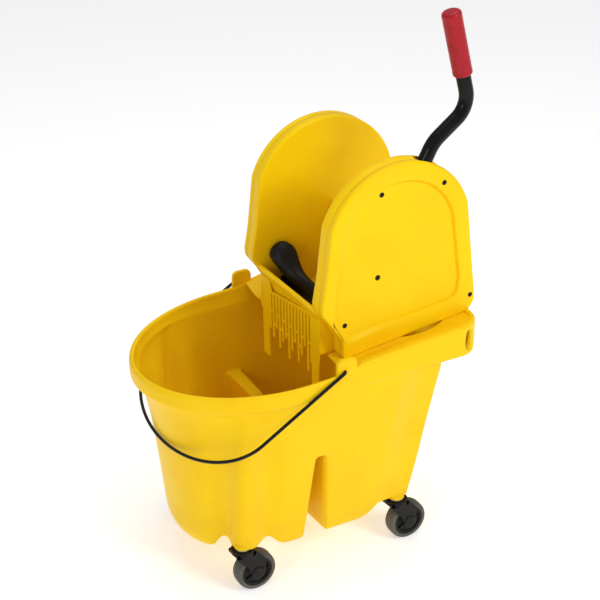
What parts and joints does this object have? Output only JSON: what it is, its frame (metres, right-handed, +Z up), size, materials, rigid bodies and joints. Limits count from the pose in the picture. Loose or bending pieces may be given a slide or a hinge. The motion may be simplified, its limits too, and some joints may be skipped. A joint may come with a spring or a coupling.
{
  "type": "mop bucket with wringer",
  "caption": "Tapered oval mop bucket on swivel castors with a wire bail and a lever-operated down-press wringer between two arched side covers.",
  "frame": {"origin": "on the floor under the middle of the whole object", "axes": "+X towards the wringer end, +Y towards the side without the handle, +Z up"},
  "size_m": [0.595, 0.411, 1.0122],
  "materials": {
    "yellow_bucket": "moulded satin",
    "yellow_wringer": "moulded satin",
    "black_plastic": "moulded satin",
    "black_wire": "gloss enamel",
    "black_enamel": "gloss enamel",
    "black_screws": "blackened steel",
    "grey_tread": "matt",
    "red_grip": "satin",
    "steel": "zinc plated",
    "nylon": "natural nylon"
  },
  "bodies": {
    "bucket": {"bucket_shell": "yellow_bucket", "castor_sockets": "nylon"},
    "bail": {"bail_handle": "black_wire"},
    "front_right_swivel": {"front_right_fork": "black_plastic", "front_right_stem": "steel", "front_right_axle": "steel"},
    "front_right_wheel": {"front_right_hub": "black_plastic", "front_right_tread": "grey_tread"},
    "front_left_swivel": {"front_left_fork": "black_plastic", "front_left_stem": "steel", "front_left_axle": "steel"},
    "front_left_wheel": {"front_left_hub": "black_plastic", "front_left_tread": "grey_tread"},
    "rear_right_swivel": {"rear_right_fork": "black_plastic", "rear_right_stem": "steel", "rear_right_axle": "steel"},
    "rear_right_wheel": {"rear_right_hub": "black_plastic", "rear_right_tread": "grey_tread"},
    "rear_left_swivel": {"rear_left_fork": "black_plastic", "rear_left_stem": "steel", "rear_left_axle": "steel"},
    "rear_left_wheel": {"rear_left_hub": "black_plastic", "rear_left_tread": "grey_tread"},
    "wringer": {"hopper": "yellow_wringer", "drain_comb": "yellow_wringer", "right_side_wall": "yellow_wringer", "left_side_wall": "yellow_wringer", "right_cover": "yellow_wringer", "left_cover": "yellow_wringer", "right_cover_screws": "black_screws", "left_cover_screws": "black_screws", "shaft_bushes": "nylon", "pivot_bolt": "black_screws", "return_spring": "steel"},
    "handle": {"handle_tube": "black_enamel", "handle_grip": "red_grip", "tube_rivet": "steel", "drive_gear": "black_plastic"},
    "press": {"press_plate": "black_plastic", "press_gear": "black_plastic", "right_press_shaft": "steel", "left_press_shaft": "steel"}
  },
  "joints": [
    {"name": "front_right_swivel", "type": "hinge", "parent": "bucket", "child": "front_right_swivel", "pos_m": [-0.172, -0.14, 0.09], "axis": [0, 0, 1], "continuous": true},
    {"name": "front_right_spin", "type": "hinge", "parent": "front_right_swivel", "child": "front_right_wheel", "pos_m": [-0.15, -0.14, 0.0381], "axis": [0, 1, 0], "continuous": true},
    {"name": "front_left_swivel", "type": "hinge", "parent": "bucket", "child": "front_left_swivel", "pos_m": [-0.172, 0.14, 0.09], "axis": [0, 0, 1], "continuous": true},
    {"name": "front_left_spin", "type": "hinge", "parent": "front_left_swivel", "child": "front_left_wheel", "pos_m": [-0.15, 0.14, 0.0381], "axis": [0, 1, 0], "continuous": true},
    {"name": "rear_right_swivel", "type": "hinge", "parent": "bucket", "child": "rear_right_swivel", "pos_m": [0.148, -0.14, 0.09], "axis": [0, 0, 1], "continuous": true},
    {"name": "rear_right_spin", "type": "hinge", "parent": "rear_right_swivel", "child": "rear_right_wheel", "pos_m": [0.17, -0.14, 0.0381], "axis": [0, 1, 0], "continuous": true},
    {"name": "rear_left_swivel", "type": "hinge", "parent": "bucket", "child": "rear_left_swivel", "pos_m": [0.148, 0.14, 0.09], "axis": [0, 0, 1], "continuous": true},
    {"name": "rear_left_spin", "type": "hinge", "parent": "rear_left_swivel", "child": "rear_left_wheel", "pos_m": [0.17, 0.14, 0.0381], "axis": [0, 1, 0], "continuous": true},
    {"name": "bail_swing", "type": "hinge", "parent": "bucket", "child": "bail", "pos_m": [-0.0025, 0, 0.43], "axis": [0, 1, 0], "range_deg": [0, 120]},
    {"name": "wringer_lift", "type": "slide", "parent": "bucket", "child": "wringer", "axis": [0, 0, 1], "range_m": [0, 0.28]},
    {"name": "handle_swing", "type": "hinge", "parent": "wringer", "child": "handle", "pos_m": [0.09558, -0.1245, 0.55713], "axis": [0, 1, 0], "range_deg": [0, 70], "stiffness_Nm_per_rad": 1.2, "springref_deg": -74.48},
    {"name": "press_swing", "type": "hinge", "parent": "wringer", "child": "press", "pos_m": [0.0495, 0, 0.512], "axis": [0, 1, 0], "range_deg": [-52, 0]}
  ],
  "couplings": [
    {"joint": "press_swing", "follows": "handle_swing", "ratio": -0.72}
  ]
}
